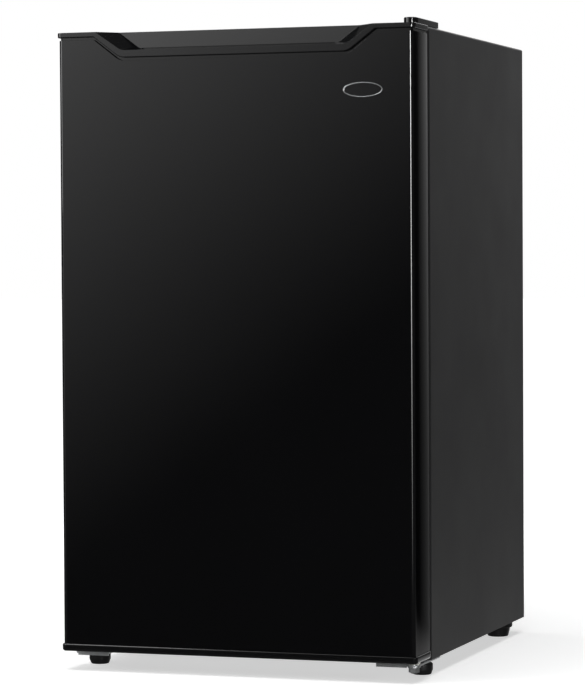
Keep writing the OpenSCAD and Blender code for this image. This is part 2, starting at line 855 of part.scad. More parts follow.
module badge_plate() color("#101012")
  translate([badge_x, panel_front, badge_z]) rotate([90, 0, 0]) linear_extrude(0.6)
    oval(badge_a - 1, badge_b - 1);

module upper_bush() color("#dcdcd6")
  difference() {
    post([pivot_x, pivot_y], [cab_top - boss_depth, cab_top], bush_r);
    post([pivot_x, pivot_y], [0, cab_top + over], pin_r + pin_clear);
  }

module lower_bush() color("#dcdcd6")
  difference() {
    union() {
      post([pivot_x, pivot_y], [door_bottom, door_bottom + boss_depth], bush_r);
      post([pivot_x, pivot_y], [cab_bottom + slack, door_bottom], boss_r);
    }
    post([pivot_x, pivot_y], [0, cab_top], pin_r + pin_clear);
  }

module door_hole_plug() color("#151517") {
  post([-pivot_x, pivot_y], [cab_top - 8, cab_top], bush_r);
}

// ---------- door furniture ----------

// open box that clips between the door's raised walls
module bin(z, back_h, front_h, reach) {
  y = [door_back + door_liner_t, reach];
  difference() {
    block([-bin_half, bin_half], y, [z, z + back_h]);
    block([-bin_half + bin_wall, bin_half - bin_wall], [y[0] + bin_wall, y[1] - bin_wall],
          [z + bin_wall, z + back_h + over]);
    block([-bin_half - over, bin_half + over], [y[1] - bin_wall, y[1] + over],
          [z + front_h, z + back_h + over]);
  }
}

module upper_bin() color([0.86, 0.91, 0.93, 0.6]) bin(520, 60, 52, bin_front - 18);
module middle_bin() color([0.86, 0.91, 0.93, 0.6]) bin(340, 70, 62, bin_front - 14);
module bottle_bin() color([0.86, 0.91, 0.93, 0.6]) bin(96, 88, 80, bin_front);

module bottle_retainer() color([0.86, 0.91, 0.93, 0.6])
  difference() {
    block([-bin_half, bin_half], [-190, bin_front], [240, 262]);
    block([-bin_half + bin_wall, bin_half - bin_wall], [-200, bin_front - bin_wall], [230, 270]);
  }

// ---------- build ----------

outer_shell();
rear_panel();
base_plate();
machine_room_wall();
cabinet_foam();
cabinet_liner();
compressor_plate();
compressor();
compressor_grommets();
relay_cover();
filter_drier();
capillary_tube();
discharge_pipe();
suction_pipe();
condenser_coil();
cord_gland();
rear_feet();
left_foot_bracket();
lower_hinge_bracket();
lower_hinge_pin();
hinge_pin_nut();
base_screws();
upper_hinge_bracket();
upper_hinge_pin();
upper_hinge_screws();
hinge_cover();
hole_plugs();
evaporator_box();
evaporator_hangers();
freezer_frame();
thermostat_housing();
crisper_cover();
freezer_flap();
drip_tray();
upper_shelf_glass();
upper_shelf_trim();
lower_shelf_glass();
lower_shelf_trim();
crisper_drawer();
thermostat_knob();
defrost_button();
left_foot_pad();
left_foot_stud();
right_foot_pad();
right_foot_stud();
door_panel();
door_top_cap();
door_bottom_cap();
door_foam();
door_liner();
door_gasket();
badge_ring();
badge_plate();
upper_bush();
lower_bush();
door_hole_plug();
upper_bin();
middle_bin();
bottle_bin();
bottle_retainer();
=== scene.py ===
"""A counter-height mini fridge: steel cabinet, foamed door with a finger pocket, and all that is inside."""
import math

import bmesh
import bpy
from mathutils import Matrix, Vector


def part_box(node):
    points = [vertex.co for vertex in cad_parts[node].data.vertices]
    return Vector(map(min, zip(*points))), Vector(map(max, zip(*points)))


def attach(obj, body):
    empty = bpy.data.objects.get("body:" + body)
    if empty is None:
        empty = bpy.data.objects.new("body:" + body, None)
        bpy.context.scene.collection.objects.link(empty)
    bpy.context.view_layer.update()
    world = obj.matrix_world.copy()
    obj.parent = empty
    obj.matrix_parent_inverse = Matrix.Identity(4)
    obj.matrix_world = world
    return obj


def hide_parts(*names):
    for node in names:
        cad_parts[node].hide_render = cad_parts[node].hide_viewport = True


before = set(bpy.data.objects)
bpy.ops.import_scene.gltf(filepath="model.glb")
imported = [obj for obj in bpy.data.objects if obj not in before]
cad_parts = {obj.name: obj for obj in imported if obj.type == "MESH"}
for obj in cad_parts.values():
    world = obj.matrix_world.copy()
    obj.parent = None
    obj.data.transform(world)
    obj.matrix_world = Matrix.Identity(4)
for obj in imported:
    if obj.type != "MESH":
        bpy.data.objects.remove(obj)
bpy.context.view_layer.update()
MM = 0.001


# ---------- Cabinet shell ----------
# Both sides and the top are one strip of pre-painted steel, folded to an upside-down U. The front edge is
# rolled round and turned in as a flange behind the door gasket, and the rear edge is turned in to hold the
# back panel. The coat is a satin black with a fine pebbled grain.

def add_block(name, low, high):
    """A block between two corners, with its place in its mesh."""
    low, high = Vector(low), Vector(high)
    bpy.ops.object.select_all(action="DESELECT")
    bpy.ops.mesh.primitive_cube_add(size=1, location=(low + high) / 2)
    block = bpy.context.object
    block.scale = high - low
    bpy.ops.object.transform_apply(location=True, rotation=True, scale=True)
    block.name = block.data.name = name
    return block


def edit(piece):
    """Opens one piece for editing, with nothing selected."""
    bpy.ops.object.select_all(action="DESELECT")
    bpy.context.view_layer.objects.active = piece
    piece.select_set(True)
    bpy.ops.object.mode_set(mode="EDIT")
    bpy.ops.mesh.select_all(action="DESELECT")


def leave():
    bpy.ops.object.mode_set(mode="OBJECT")


def pick(kind, test):
    """Selects the faces, edges or corners whose middle and direction pass a test."""
    bpy.ops.mesh.select_mode(type=kind)
    bpy.ops.mesh.select_all(action="DESELECT")
    data = bpy.context.edit_object.data
    mesh = bmesh.from_edit_mesh(data)
    if kind == "FACE":
        found = [f for f in mesh.faces if test(f.calc_center_median(), f.normal)]
    elif kind == "EDGE":
        found = [e for e in mesh.edges
                 if test((e.verts[0].co + e.verts[1].co) / 2, (e.verts[1].co - e.verts[0].co).normalized())]
    else:
        found = [v for v in mesh.verts if test(v.co, v.normal)]
    for item in found:
        item.select_set(True)
    mesh.select_flush_mode()
    bmesh.update_edit_mesh(data)


def near(value, target, reach=0.0002):
    return abs(value - target) < reach


def use(piece, kind, **settings):
    """Adds one modifier and applies it."""
    bpy.context.view_layer.objects.active = piece
    modifier = piece.modifiers.new(kind.title(), kind)
    for name, value in settings.items():
        setattr(modifier, name, value)
    bpy.ops.object.modifier_apply(modifier=modifier.name)


def join_shape(piece, other, operation):
    """Adds another solid to a piece, or takes it away, and removes that solid."""
    use(piece, "BOOLEAN", object=other, operation=operation, solver="EXACT")
    bpy.data.objects.remove(other)


def finish_edges(piece, radius, segments=2, angle=30):
    """Rounds what is still sharp and shades the flats flat and the rounds smooth."""
    if radius:
        use(piece, "BEVEL", width=radius, segments=segments, limit_method="ANGLE",
            angle_limit=math.radians(angle), use_clamp_overlap=True)
    edit(piece)
    bpy.ops.mesh.select_all(action="SELECT")
    bpy.ops.mesh.dissolve_degenerate(threshold=0.002 * MM)
    leave()
    bpy.ops.object.shade_smooth_by_angle(angle=math.radians(46))
    use(piece, "WEIGHTED_NORMAL", mode="FACE_AREA", weight=50, keep_sharp=True)


def linear(colour):
    """sRGB hex to a linear colour."""
    parts = [int(colour[i:i + 2], 16) / 255 for i in (1, 3, 5)]
    return (*[c / 12.92 if c <= 0.04045 else ((c + 0.055) / 1.055) ** 2.4 for c in parts], 1)


def add(tree, kind, settings=(), links=()):
    """Adds a node with its settings and its incoming links."""
    node = tree.nodes.new("ShaderNode" + kind)
    for name, value in dict(settings).items():
        if isinstance(name, int) or name in node.inputs:
            node.inputs[name].default_value = value
        else:
            setattr(node, name, value)
    for name, (source, output) in dict(links).items():
        tree.links.new(source.outputs[output], node.inputs[name])
    return node


def surface(name, colour, rough, grain=0.6, depth=0.01, cloud=0.08, patch=60, **values):
    """A skin with a fine grain in its relief and slow clouds in its gloss and its colour. Sizes are in
    millimetres: grain and depth for the relief, patch for the clouds. rough is its least and most."""
    material = bpy.data.materials.new(name)
    material.use_nodes = True
    tree = material.node_tree
    shader = tree.nodes["Principled BSDF"]
    for socket, value in values.items():
        shader.inputs[socket.replace("_", " ")].default_value = value
    place = add(tree, "TexCoord")
    slow = add(tree, "TexNoise", {"Scale": 1 / (patch * MM), "Detail": 3.0}, {"Vector": (place, "Object")})
    fine = add(tree, "TexNoise", {"Scale": 1 / (grain * MM), "Detail": 2.0}, {"Vector": (place, "Object")})
    gloss = add(tree, "MapRange", {"From Min": 0.3, "From Max": 0.7, "To Min": rough[0], "To Max": rough[1]},
                {"Value": (slow, "Fac")})
    base = linear(colour)
    tint = add(tree, "ValToRGB", (), {"Fac": (slow, "Fac")})
    tint.color_ramp.elements[0].position = 0.3
    tint.color_ramp.elements[1].position = 0.7
    tint.color_ramp.elements[0].color = (*[c * (1 - cloud) for c in base[:3]], 1)
    tint.color_ramp.elements[1].color = (*[c * (1 + cloud) for c in base[:3]], 1)
    relief = add(tree, "Bump", {"Strength": 1.0, "Distance": depth * MM}, {"Height": (fine, "Fac")})
    tree.links.new(gloss.outputs["Result"], shader.inputs["Roughness"])
    tree.links.new(tint.outputs["Color"], shader.inputs["Base Color"])
    tree.links.new(relief.outputs["Normal"], shader.inputs["Normal"])
    return material


def cover(piece, material):
    piece.data.materials.clear()
    piece.data.materials.append(material)


def stand_for(piece, material, body, slot, *nodes):
    """Gives a new piece its material and its body, and hides the CAD nodes that it stands for. slot is not
    used.
    """
    cover(piece, material)
    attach(piece, body)
    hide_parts(*nodes)


# coil-coated steel, satin black: soft wide reflections broken up by a 0.8 mm pebble
cabinet_steel = surface("coil_coated_steel_satin", "#1c1c1d", (0.40, 0.48), grain=0.8, depth=0.02,
                        cloud=0.04, patch=150)

shell_low, shell_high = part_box("outer_shell")
front_flange = 29 * MM
top_flange = 33 * MM
rear_flange = 13 * MM
front_round = 8 * MM
top_round = 3 * MM
sheet = 0.8 * MM

shell = add_block("cabinet_shell", shell_low, shell_high)
edit(shell)
pick("FACE", lambda c, n: n.z < -0.9)
bpy.ops.mesh.delete(type="FACE")
pick("FACE", lambda c, n: n.y < -0.9)
bpy.ops.mesh.inset(thickness=front_flange, use_boundary=False)
bpy.ops.mesh.delete(type="FACE")
pick("VERT", lambda c, n: near(c.y, shell_low.y) and near(c.z, shell_high.z - front_flange))
bpy.ops.transform.translate(value=(0, 0, front_flange - top_flange))
# the folds: wide at the front, tight along the top
pick("EDGE", lambda c, d: near(c.y, shell_low.y) and (near(abs(c.x), shell_high.x) or near(c.z, shell_high.z)))
bpy.ops.transform.edge_bevelweight(value=1)
pick("EDGE", lambda c, d: near(abs(c.x), shell_high.x) and near(c.z, shell_high.z) and abs(d.y) > 0.9)
bpy.ops.transform.edge_bevelweight(value=top_round / front_round)
leave()
use(shell, "BEVEL", width=front_round, segments=6, limit_method="WEIGHT")
edit(shell)
pick("FACE", lambda c, n: n.y > 0.9)
bpy.ops.mesh.inset(thickness=sheet, use_boundary=False)
bpy.ops.mesh.extrude_region_move(TRANSFORM_OT_translate={"value": (0, -MM, 0)})
bpy.ops.mesh.inset(thickness=rear_flange, use_boundary=False)
bpy.ops.mesh.delete(type="FACE")
leave()
use(shell, "SOLIDIFY", thickness=sheet, offset=-1)
finish_edges(shell, 0.15 * MM, 1, 60)
stand_for(shell, cabinet_steel, "cabinet", "cabinet_paint", "outer_shell")

# ---------- Back panel ----------
# A flat steel sheet closes the back above the compressor. A shallow pressed field and two beads stiffen it
# against the foam. It has the same black coat as the cabinet, whose turned-in rear edge frames it.
panel_low, panel_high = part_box("rear_panel")
field_margin = 34 * MM
field_slope = 4 * MM
field_drop = 0.9 * MM
bead_half = 7 * MM
bead_rise = 0.7 * MM
bead_root = 0.5 * MM
bead_end = 70 * MM

back_panel = add_block("back_panel", panel_low, panel_high)
edit(back_panel)
# both faces of the sheet step in together
pick("FACE", lambda c, n: abs(n.y) > 0.9)
bpy.ops.mesh.inset(thickness=field_margin)
bpy.ops.mesh.inset(thickness=field_slope)
bpy.ops.transform.translate(value=(0, -field_drop, 0))
leave()
for bead_at in (0.36, 0.68):
    z = panel_low.z + (panel_high.z - panel_low.z) * bead_at
    field_y = panel_high.y - field_drop
    bead = add_block("bead", (panel_low.x + bead_end, field_y - bead_root, z - bead_half),
                     (panel_high.x - bead_end, field_y + bead_rise, z + bead_half))
    edit(bead)
    pick("EDGE", lambda c, d: abs(d.y) > 0.9)
    bpy.ops.mesh.bevel(offset=bead_half * 0.98, segments=6, affect="EDGES")
    pick("FACE", lambda c, n: n.y > 0.9)
    bpy.ops.transform.resize(value=(0.985, 1, 0.6))
    leave()
    join_shape(back_panel, bead, "UNION")
edit(back_panel)
bpy.ops.mesh.select_all(action="SELECT")
bpy.ops.mesh.normals_make_consistent(inside=False)
leave()
finish_edges(back_panel, 0.5 * MM, 2, 12)
stand_for(back_panel, cabinet_steel, "cabinet", "cabinet_paint", "rear_panel")

# ---------- Base plate, machine-room wall and compressor plate ----------
# Bare galvanised sheet, cut and folded on a press: the base plate under the liner, the wall and ceiling of the
# compressor space, and the plate that the compressor stands on. Zinc crystals give it a broken-up sheen.

def shaped(node, name, material, body, slot, edge, segments=2, angle=30):
    """A piece with a CAD node's own shape, its triangles merged and its edges softened."""
    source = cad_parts[node]
    piece = bpy.data.objects.new(name, source.data.copy())
    bpy.context.scene.collection.objects.link(piece)
    edit(piece)
    bpy.ops.mesh.select_all(action="SELECT")
    if piece.data.has_custom_normals:
        bpy.ops.mesh.customdata_custom_splitnormals_clear()
    bpy.ops.mesh.remove_doubles(threshold=0.005 * MM)
    bpy.ops.mesh.dissolve_limited(angle_limit=math.radians(0.5))
    leave()
    finish_edges(piece, edge, segments, angle)
    stand_for(piece, material, body, slot, node)


# hot-dip galvanised steel: 6 mm crystals that differ in brightness and gloss
galvanised = surface("hot_dip_galvanised_steel", "#9a9d9f", (0.32, 0.44), grain=0.5, depth=0.006,
                     Metallic=1.0)
tree = galvanised.node_tree
place = add(tree, "TexCoord")
crystal = add(tree, "TexVoronoi", {"Scale": 1 / (6 * MM)}, {"Vector": (place, "Object")})
shade = add(tree, "ValToRGB", (), {"Fac": (crystal, "Color")})
shade.color_ramp.elements[0].color = linear("#83878a")
shade.color_ramp.elements[1].color = linear("#b4b8ba")
tree.links.new(shade.outputs["Color"], tree.nodes["Principled BSDF"].inputs["Base Color"])
for node in ("base_plate", "machine_room_wall", "compressor_plate"):
    shaped(node, node + "_pressing", galvanised, "cabinet", "galvanised", 0.25 * MM)

# ---------- Cabinet liner ----------
# The white inside is one sheet of polystyrene, drawn by vacuum into a mould: every corner is round, the floor
# steps up over the compressor, and ribs on the side walls carry the shelves.
liner_low, liner_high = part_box("cabinet_liner")
inner_x = 197 * MM
inner_z = (62 * MM, 778 * MM)
liner_front = liner_low.y
liner_sheet = 2 * MM
inner_back = liner_high.y - liner_sheet
step_y = 78 * MM
step_z = 248 * MM
rib_x = 188 * MM
rib_back = 226 * MM
rib_front = -118 * MM
rib_height = 5
liner_corner = 8 * MM
back_round = 7 * MM
rim = 9 * MM
rim_round = 2.5 * MM
corner_reach = 10 * MM

liner = add_block("liner_moulding", (-inner_x, liner_front, inner_z[0]), (inner_x, step_y, inner_z[1]))
edit(liner)
bpy.ops.mesh.select_all(action="SELECT")
bpy.ops.mesh.bisect(plane_co=(0, 0, step_z), plane_no=(0, 0, 1))
pick("FACE", lambda c, n: n.y > 0.9 and c.z > step_z)
bpy.ops.mesh.extrude_region_move(TRANSFORM_OT_translate={"value": (0, inner_back - step_y, 0)})
pick("FACE", lambda c, n: n.y < -0.9)
bpy.ops.mesh.delete(type="FACE")
pick("EDGE", lambda c, d: abs(d.y) > 0.9 and abs(c.x) > inner_x - MM and (
    near(c.z, inner_z[0]) or near(c.z, inner_z[1]) or (near(c.z, step_z) and c.y > step_y)))
bpy.ops.mesh.bevel(offset=liner_corner, segments=5, affect="EDGES")
pick("EDGE", lambda c, d: near(c.y, inner_back) or (near(c.y, step_y) and c.z < step_z + MM))
bpy.ops.mesh.bevel(offset=back_round, segments=4, affect="EDGES")
pick("EDGE", lambda c, d: near(c.y, liner_front))
middle_z = (inner_z[0] + inner_z[1]) / 2
half_z = (inner_z[1] - inner_z[0]) / 2
bpy.ops.mesh.extrude_edges_move()
bpy.ops.transform.resize(value=((inner_x + rim) / inner_x, 1, (half_z + rim) / half_z),
                         center_override=(0, liner_front, middle_z))
# the rim's inner edge, with its round corners
pick("EDGE", lambda c, d: near(c.y, liner_front) and abs(c.x) < inner_x + MM
     and inner_z[0] - MM < c.z < inner_z[1] + MM
     and (abs(c.x) > inner_x - corner_reach or abs(c.z - middle_z) > half_z - corner_reach))
bpy.ops.mesh.bevel(offset=rim_round, segments=3, affect="EDGES")
leave()
use(liner, "SOLIDIFY", thickness=liner_sheet, offset=1)
for z, back in ((243, step_y - 2 * MM), (380, rib_back), (500, rib_back), (616, rib_back)):
    for side in (-1, 1):
        x = sorted((side * rib_x, side * (inner_x + MM)))
        rib = add_block("rib", (x[0], rib_front, z * MM), (x[1], back, (z + rib_height) * MM))
        edit(rib)
        pick("EDGE", lambda c, d: near(abs(c.x), rib_x))
        bpy.ops.mesh.bevel(offset=1.8 * MM, segments=3, affect="EDGES")
        leave()
        # its outer edge is sunk 1 mm into the sheet
        bpy.ops.object.select_all(action="DESELECT")
        rib.select_set(True)
        liner.select_set(True)
        bpy.context.view_layer.objects.active = liner
        bpy.ops.object.join()
finish_edges(liner, 0)

# vacuum-formed high-impact polystyrene: white, a soft gloss, slightly uneven where the sheet was stretched
white_sheet = surface("polystyrene_sheet_white", "#e6e8e9", (0.26, 0.34), grain=9, depth=0.012, cloud=0.012,
                      patch=120, IOR=1.55, Subsurface_Weight=0.05)
white_sheet.node_tree.nodes["Principled BSDF"].inputs["Subsurface Radius"].default_value = (0.002, 0.002, 0.002)
stand_for(liner, white_sheet, "cabinet", "white_liner", "cabinet_liner")

# ---------- Foam ----------
# Rigid polyurethane is poured between shell and liner and between the door's skins, where it rises and sets.
# It is sealed in and only shows if the fridge is cut open: pale yellow, with cells drawn 1.2 mm wide.
foam = surface("rigid_polyurethane_foam", "#e3d49c", (0.85, 0.95), grain=1.2, depth=0.4, cloud=0.1, patch=25)
for node in ("cabinet_foam", "door_foam"):
    cover(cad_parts[node], foam)

# ---------- Compressor ----------
# Two deep-drawn steel cups welded into a sealed can, with a foot plate under it and stoved black enamel over
# all. It stands on four rubber grommets, and a plastic box on its side covers the relay and its switch.
# stoved enamel: deep black and glossy, with the ripple of a thick coat
enamel = surface("stoved_enamel_black", "#0b0b0c", (0.16, 0.26), grain=3.5, depth=0.08, cloud=0.1)
shaped("compressor", "compressor_can", enamel, "cabinet", "compressor_paint", 0.4 * MM)
# moulded rubber: dead black, dusty and dull
rubber = surface("moulded_rubber", "#151515", (0.62, 0.78), grain=0.9, depth=0.04, cloud=0.25, patch=14)
shaped("compressor_grommets", "rubber_grommets", rubber, "cabinet", "rubber", 0.6 * MM)
# moulded ABS with a spark-eroded texture: satin black, a 0.4 mm grain
black_abs = surface("abs_spark_textured_black", "#0d0d0e", (0.30, 0.38), grain=0.4, depth=0.006, cloud=0.06)
shaped("relay_cover", "relay_box", black_abs, "cabinet", "black_plastic", 1.6 * MM, 3)
shaped("cord_gland", "cord_gland_moulding", rubber, "cabinet", "rubber", 0.5 * MM)

# ---------- Refrigerant pipes ----------
# Drawn copper tube, bent on a mandrel and brazed to steel stubs. It has tarnished to a brown bloom, and the
# joints are darker. The drier is a fat copper capsule with its ends spun down to the tubes.
copper = surface("drawn_copper_tarnished", "#b5714b", (0.24, 0.42), grain=1.5, depth=0.01, cloud=0.3, patch=18,
                 Metallic=1.0)


def bent_tube(name, points, radius, bend, node):
    """A tube on a smooth centreline: straight legs with a round bend at each corner. All in millimetres."""
    curve = bpy.data.curves.new(name, "CURVE")
    curve.dimensions = "3D"
    line = []
    for before, at, after in zip(points, points[1:], points[2:]):
        before, at, after = Vector(before), Vector(at), Vector(after)
        start = at + (before - at).normalized() * bend
        end = at + (after - at).normalized() * bend
        for i in range(9):
            t = i / 8
            line.append(start * (1 - t) ** 2 + at * 2 * t * (1 - t) + end * t ** 2)
    line = [Vector(points[0]), *line, Vector(points[-1])]
    spline = curve.splines.new("POLY")
    spline.points.add(len(line) - 1)
    for point, place in zip(spline.points, line):
        point.co = (*(place * MM), 1)
    curve.bevel_depth = radius * MM
    curve.bevel_resolution = 5
    curve.use_fill_caps = True
    tube = bpy.data.objects.new(name, curve)
    bpy.context.scene.collection.objects.link(tube)
    bpy.ops.object.select_all(action="DESELECT")
    bpy.context.view_layer.objects.active = tube
    tube.select_set(True)
    bpy.ops.object.convert(target="MESH")
    tube = bpy.context.object
    edit(tube)
    bpy.ops.mesh.select_all(action="SELECT")
    bpy.ops.mesh.remove_doubles(threshold=0.01 * MM)
    leave()
    bpy.ops.object.shade_smooth_by_angle(angle=math.radians(40))
    stand_for(tube, copper, "cabinet", "copper_tube", node)


suction_y, discharge_y, stub_z, room_z = 180, 214, 80, 205
bent_tube("suction_tube", [(-2, suction_y, stub_z), (-40, suction_y, stub_z), (-40, suction_y, room_z)],
          4, 14, "suction_pipe")
bent_tube("discharge_tube", [(-2, discharge_y, stub_z), (-70, discharge_y, stub_z), (-70, discharge_y, 120),
                             (-205, discharge_y, 120), (-205, discharge_y, room_z)], 3, 14, "discharge_pipe")
bent_tube("capillary", [(-110, 236, 81), (-110, 236, 66), (-142, 236, 66), (-142, 236, room_z)], 1.2, 7,
          "capillary_tube")
shaped("filter_drier", "drier_capsule", copper, "cabinet", "copper_tube", 1.2 * MM, 3)
cover(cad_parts["condenser_coil"], copper)

# ---------- Feet ----------
# Two levelling pads at the front turn on steel studs, and two fixed feet are pushed in at the rear. All are
# moulded black polypropylene, a little waxy, with a rounded rim and a small contact face.
# moulded polypropylene: black with a waxy, uneven gloss
black_pp = surface("moulded_polypropylene_black", "#0a0a0b", (0.34, 0.5), grain=1.1, depth=0.02, cloud=0.15,
                   patch=12)
shaped("rear_feet", "rear_feet_moulding", black_pp, "cabinet", "black_plastic", 0.8 * MM, 3, 20)
for side in ("left", "right"):
    shaped(f"{side}_foot_pad", f"{side}_levelling_pad", black_pp, f"{side}_foot", "black_plastic", 0.8 * MM,
           3, 20)

# zinc-plated and passivated steel: grey-white metal with a faint cloudy bloom
zinc = surface("zinc_plated_steel", "#d3d5d6", (0.34, 0.50), grain=0.7, depth=0.008, cloud=0.10, patch=16,
               Metallic=1.0)
for side in ("left", "right"):
    shaped(f"{side}_foot_stud", f"{side}_levelling_stud", zinc, f"{side}_foot", "steel_part", 0.4 * MM)

# ---------- Lower hinge and brackets ----------
# Two zinc-plated steel plates are screwed under the cabinet's front corners, their front edges folded down. The
# right one carries the door's lower pivot pin, held by a nut and a washer.
for node, name in (("left_foot_bracket", "left_bracket_pressing"),
                   ("lower_hinge_bracket", "hinge_plate_pressing")):
    shaped(node, name, zinc, "cabinet", "zinc_plate", 0.35 * MM)
shaped("base_screws", "base_screw_set", zinc, "cabinet", "steel_part", 0.5 * MM)
shaped("hinge_pin_nut", "hinge_nut_and_washer", zinc, "cabinet", "zinc_plate", 0.6 * MM)
# turned and polished steel: bright, with fine lathe lines round it
bright_steel = surface("turned_steel_bright", "#c6c8ca", (0.16, 0.26), grain=0.4, depth=0.006, Metallic=1.0)
shaped("lower_hinge_pin", "lower_pivot", bright_steel, "cabinet", "steel_part", 0.6 * MM, 3)

# ---------- Upper hinge ----------
# A steel arm screwed to the cabinet top holds the upper pin, under a glossy moulded cover with a round nose.
# The screw holes of the unused side are closed with plugs, because the door can be hung either way.
shaped("upper_hinge_bracket", "upper_hinge_arm", zinc, "cabinet", "zinc_plate", 0.3 * MM)
shaped("upper_hinge_pin", "upper_pivot", bright_steel, "cabinet", "steel_part", 0.6 * MM, 3)
shaped("upper_hinge_screws", "upper_screw_set", zinc, "cabinet", "steel_part", 0.4 * MM)

# moulded ABS from a polished tool: black and mirror-like
gloss_abs = surface("abs_polished_black", "#080809", (0.07, 0.13), grain=7, depth=0.02, cloud=0.05)
cover_low, cover_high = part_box("hinge_cover")
nose = (cover_high.x - cover_low.x) / 2
cover_wall = 1.6 * MM

hinge_cover = add_block("hinge_cover_moulding", cover_low, cover_high)
edit(hinge_cover)
pick("EDGE", lambda c, d: abs(d.z) > 0.9 and near(c.y, cover_low.y))
bpy.ops.mesh.bevel(offset=nose * 0.985, segments=10, affect="EDGES")
pick("EDGE", lambda c, d: abs(d.z) > 0.9 and near(c.y, cover_high.y))
bpy.ops.mesh.bevel(offset=2 * MM, segments=4, affect="EDGES")
pick("EDGE", lambda c, d: near(c.z, cover_high.z))
bpy.ops.mesh.bevel(offset=1.3 * MM, segments=4, affect="EDGES")
pick("FACE", lambda c, n: n.z < -0.9)
bpy.ops.mesh.inset(thickness=cover_wall)
hollow = cover_high.z - cover_low.z - cover_wall
bpy.ops.mesh.extrude_region_move(TRANSFORM_OT_translate={"value": (0, 0, hollow)})
leave()
finish_edges(hinge_cover, 0)
stand_for(hinge_cover, gloss_abs, "cabinet", "black_cap", "hinge_cover")
shaped("hole_plugs", "hole_plug_set", black_abs, "cabinet", "black_plastic", 0.5 * MM)

# ---------- Door skin ----------
# One sheet of pre-painted steel, high-gloss black, bent back round both long edges. Its top edge is cut down in
# the middle to leave room for the finger pocket, with sloping shoulders.
skin_low, skin_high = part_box("door_panel")
skin_round = 5 * MM
skin_sheet = 0.9 * MM
side_crown = 1.5 * MM
crown_round = 26 * MM
notch_top = 188 * MM
notch_low = 152 * MM
notch_z = 782.5 * MM
notch_round = 6 * MM
cap_line = 813.5 * MM


def notch_block(name, half_top, half_low, low, line, y, round_by):
    """A block whose side view from the front is the pocket's outline: sloping sides and two round corners.
    Above the line it runs on along the same slopes."""
    rise = 30 * MM
    slope = (half_top - half_low) / (line - low)
    block = add_block(name, (-half_low, y[0], low), (half_low, y[1], line + rise))
    edit(block)
    pick("FACE", lambda c, n: n.z > 0.9)
    bpy.ops.transform.resize(value=((half_top + slope * rise) / half_low, 1, 1), center_override=(0, 0, 0))
    if round_by:
        pick("EDGE", lambda c, d: abs(d.y) > 0.9 and near(c.z, low))
        bpy.ops.mesh.bevel(offset=round_by, segments=5, affect="EDGES")
    leave()
    return block


skin = add_block("door_skin", skin_low, skin_high)
edit(skin)
pick("FACE", lambda c, n: n.y > 0.9 or abs(n.z) > 0.9)
bpy.ops.mesh.delete(type="FACE")
pick("EDGE", lambda c, d: abs(d.z) > 0.9 and near(c.y, skin_low.y))
bpy.ops.mesh.bevel(offset=skin_round, segments=8, affect="EDGES")
# the sides swell a little between their two edges
bpy.ops.mesh.select_all(action="SELECT")
middle_y = (skin_low.y + skin_round + skin_high.y) / 2
bpy.ops.mesh.bisect(plane_co=(0, middle_y, 0), plane_no=(0, 1, 0))
pick("VERT", lambda c, n: near(c.y, middle_y))
bpy.ops.transform.resize(value=(1 + side_crown / skin_high.x, 1, 1), center_override=(0, 0, 0))
pick("EDGE", lambda c, d: near(c.y, middle_y) and abs(d.z) > 0.9)
bpy.ops.mesh.bevel(offset=crown_round, segments=10, affect="EDGES")
leave()
use(skin, "SOLIDIFY", thickness=skin_sheet, offset=-1)
cutter = notch_block("cutter", notch_top, notch_low, notch_z, skin_high.z,
                     (skin_low.y - 5 * MM, skin_low.y + 4 * MM), notch_round)
join_shape(skin, cutter, "DIFFERENCE")
finish_edges(skin, 0.35 * MM, 2, 50)

# coil-coated steel, high gloss: nearly black, mirror-like, with a very slow waviness left by the foam behind it
door_gloss = surface("coil_coated_steel_gloss", "#040405", (0.05, 0.085), grain=60, depth=0.02, cloud=0.05,
                     patch=200, IOR=1.5)
stand_for(skin, door_gloss, "door", "door_paint", "door_panel")

# ---------- Door caps ----------
# Moulded black ABS caps close the door at the top and the bottom. The top cap follows the skin's cut edge, and
# its middle is the pocket that the hand pulls on, with a slot for the fingertips behind the lip.
cap_low, cap_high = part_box("door_top_cap")
cap_corner = 6 * MM
lip_z = 795.5 * MM
band_low = lip_z - 9 * MM
inside_x = skin_high.x - MM
tub_front = 5 * MM
tub_back = 3 * MM
tub_z = (768 * MM, 817 * MM)
tub_round = 2.5 * MM
band_round = 1.1 * MM
clear_of = 10 * MM

top_cap = add_block("door_top_moulding", (cap_low.x, cap_low.y, band_low - 6 * MM), cap_high)
edit(top_cap)
pick("EDGE", lambda c, d: abs(d.z) > 0.9)
bpy.ops.mesh.bevel(offset=cap_corner, segments=6, affect="EDGES")
leave()
# below its band the cap is cut away, so that the skin's edge can tuck in under it
shoulder = add_block("cutter", (cap_low.x - clear_of, cap_low.y - clear_of, band_low - 2 * clear_of),
                     (cap_high.x + clear_of, cap_high.y + clear_of, cap_line))
keep = notch_block("keep", notch_top, notch_low, band_low, cap_line,
                   (cap_low.y - 3 * clear_of, cap_high.y + 3 * clear_of), notch_round)
join_shape(shoulder, keep, "DIFFERENCE")
join_shape(top_cap, shoulder, "DIFFERENCE")
use(top_cap, "BEVEL", width=band_round, segments=3, limit_method="ANGLE", angle_limit=math.radians(25))
tub = add_block("tub", (-inside_x, cap_low.y + tub_front, tub_z[0]),
                (inside_x, cap_high.y - tub_back, tub_z[1]))
edit(tub)
pick("EDGE", lambda c, d: abs(d.z) > 0.9 and near(c.y, cap_low.y + tub_front))
bpy.ops.mesh.bevel(offset=tub_round, segments=5, affect="EDGES")
leave()
join_shape(top_cap, tub, "UNION")
pocket_depth = 26 * MM
pocket_back = 164 * MM
pocket_round = 5 * MM
slot_half = 130 * MM
slot_front = 6.5 * MM
slot_low = 770 * MM
pocket = notch_block("pocket", notch_top, notch_low, lip_z, cap_high.z,
                     (cap_low.y - 2 * MM, cap_low.y + pocket_depth), pocket_round)
edit(pocket)
